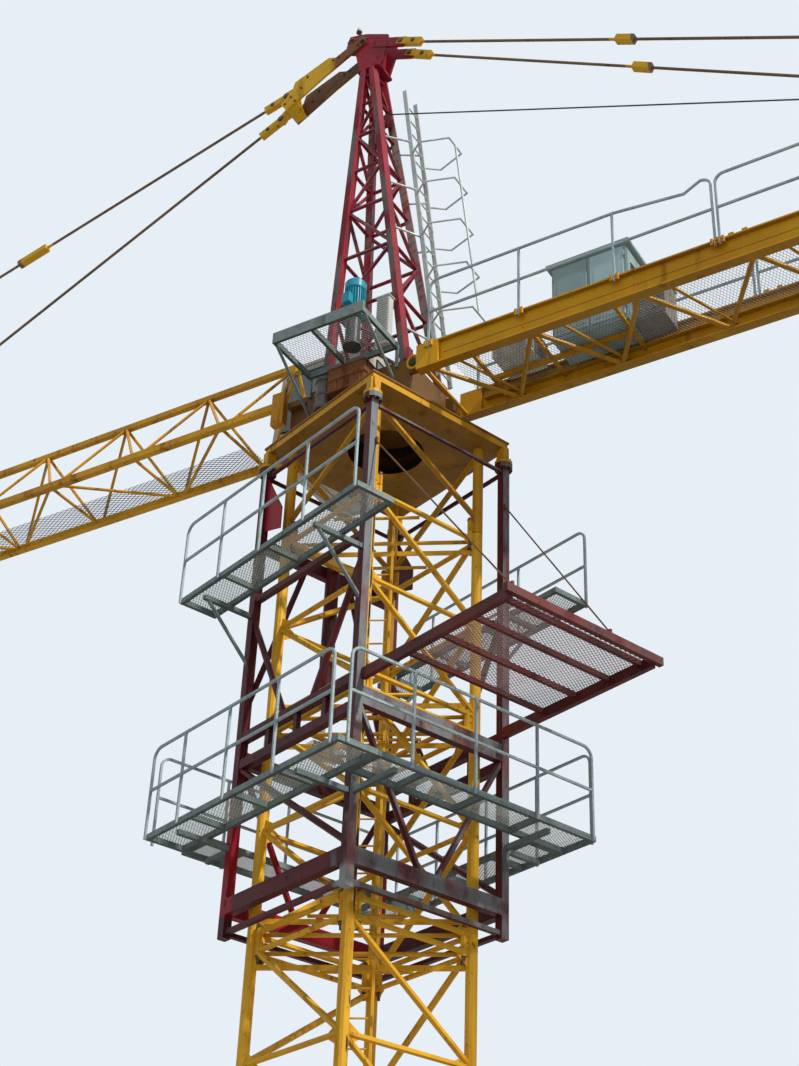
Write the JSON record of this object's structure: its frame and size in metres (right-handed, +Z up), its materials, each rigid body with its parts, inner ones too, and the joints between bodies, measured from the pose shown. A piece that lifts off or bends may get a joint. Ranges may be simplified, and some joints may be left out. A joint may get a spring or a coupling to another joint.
{
  "type": "tower crane",
  "caption": "Slewing tower crane top on a lattice mast with a climbing frame, walkways, pyramid head, triangular jib and ballasted counter-jib.",
  "frame": {"origin": "on the mast axis, at the underside of the foundation plates", "axes": "+Z up, X and Y along the sides of the mast; the jib points 109 degrees from +X, seen from above"},
  "size_m": [13.7391, 36.8929, 21.96],
  "materials": {
    "yellow_paint": "weathered gloss",
    "maroon_paint": "weathered matte",
    "red_paint": "weathered matte",
    "galvanised": "dull zinc",
    "grey_green_paint": "weathered matte",
    "dark_steel": "greasy",
    "brown_paint": "weathered matte",
    "cyan_paint": "satin",
    "cab_paint": "satin",
    "cabinet_paint": "satin",
    "white_paint": "aged satin",
    "concrete": "rough cast"
  },
  "bodies": {
    "mast": {"base_frame": "yellow_paint", "mast_section_1": "yellow_paint", "mast_section_2": "yellow_paint", "mast_section_3": "yellow_paint", "mast_section_4": "yellow_paint", "mast_section_5": "yellow_paint", "mast_ladder": "yellow_paint", "jacking_yoke": "dark_steel"},
    "climbing_frame": {"cage_legs": "maroon_paint", "cage_left_side": "maroon_paint", "cage_right_side": "maroon_paint", "cage_back_side": "maroon_paint", "cage_front_side": "maroon_paint", "cage_lower_ring": "maroon_paint", "lower_walkway": "grey_green_paint", "lower_walkway_mesh": "galvanised", "lower_handrails": "galvanised", "upper_walkway": "grey_green_paint", "upper_walkway_mesh": "galvanised", "upper_handrails": "galvanised", "feed_platform": "maroon_paint", "feed_platform_mesh": "red_paint", "feed_platform_ties": "dark_steel", "jacking_cylinder": "maroon_paint", "slewing_frame": "yellow_paint", "slewing_frame_legs": "yellow_paint", "lower_slewing_ring": "dark_steel"},
    "upper_works": {"upper_slewing_ring": "dark_steel", "slewing_platform": "maroon_paint", "slewing_gearbox": "brown_paint", "slewing_motor": "cyan_paint", "motor_platform": "grey_green_paint", "cathead": "red_paint", "cathead_head": "red_paint", "cathead_ladder": "galvanised", "operator_cab": "cab_paint", "jib_section_1": "yellow_paint", "jib_section_2": "yellow_paint", "jib_section_3": "yellow_paint", "jib_section_4": "yellow_paint", "jib_walkway": "galvanised", "jib_stay_links": "yellow_paint", "inner_jib_stay": "yellow_paint", "outer_jib_stay": "yellow_paint", "counter_jib": "yellow_paint", "counter_jib_mesh": "galvanised", "counter_jib_handrails": "galvanised", "electrical_cabinet": "cabinet_paint", "cable_box": "grey_green_paint", "resistor_boxes": "white_paint", "counter_jib_stays": "yellow_paint", "hoist_winch": "cabinet_paint", "hoist_rope": "dark_steel", "counterweights": "concrete"}
  },
  "joints": [
    {"name": "climbing_slide", "type": "slide", "parent": "mast", "child": "climbing_frame", "axis": [0, 0, 1], "range_m": [0, 1.4]},
    {"name": "slewing", "type": "hinge", "parent": "climbing_frame", "child": "upper_works", "pos_m": [0, 0, 14.365], "axis": [0, 0, 1], "continuous": true}
  ]
}
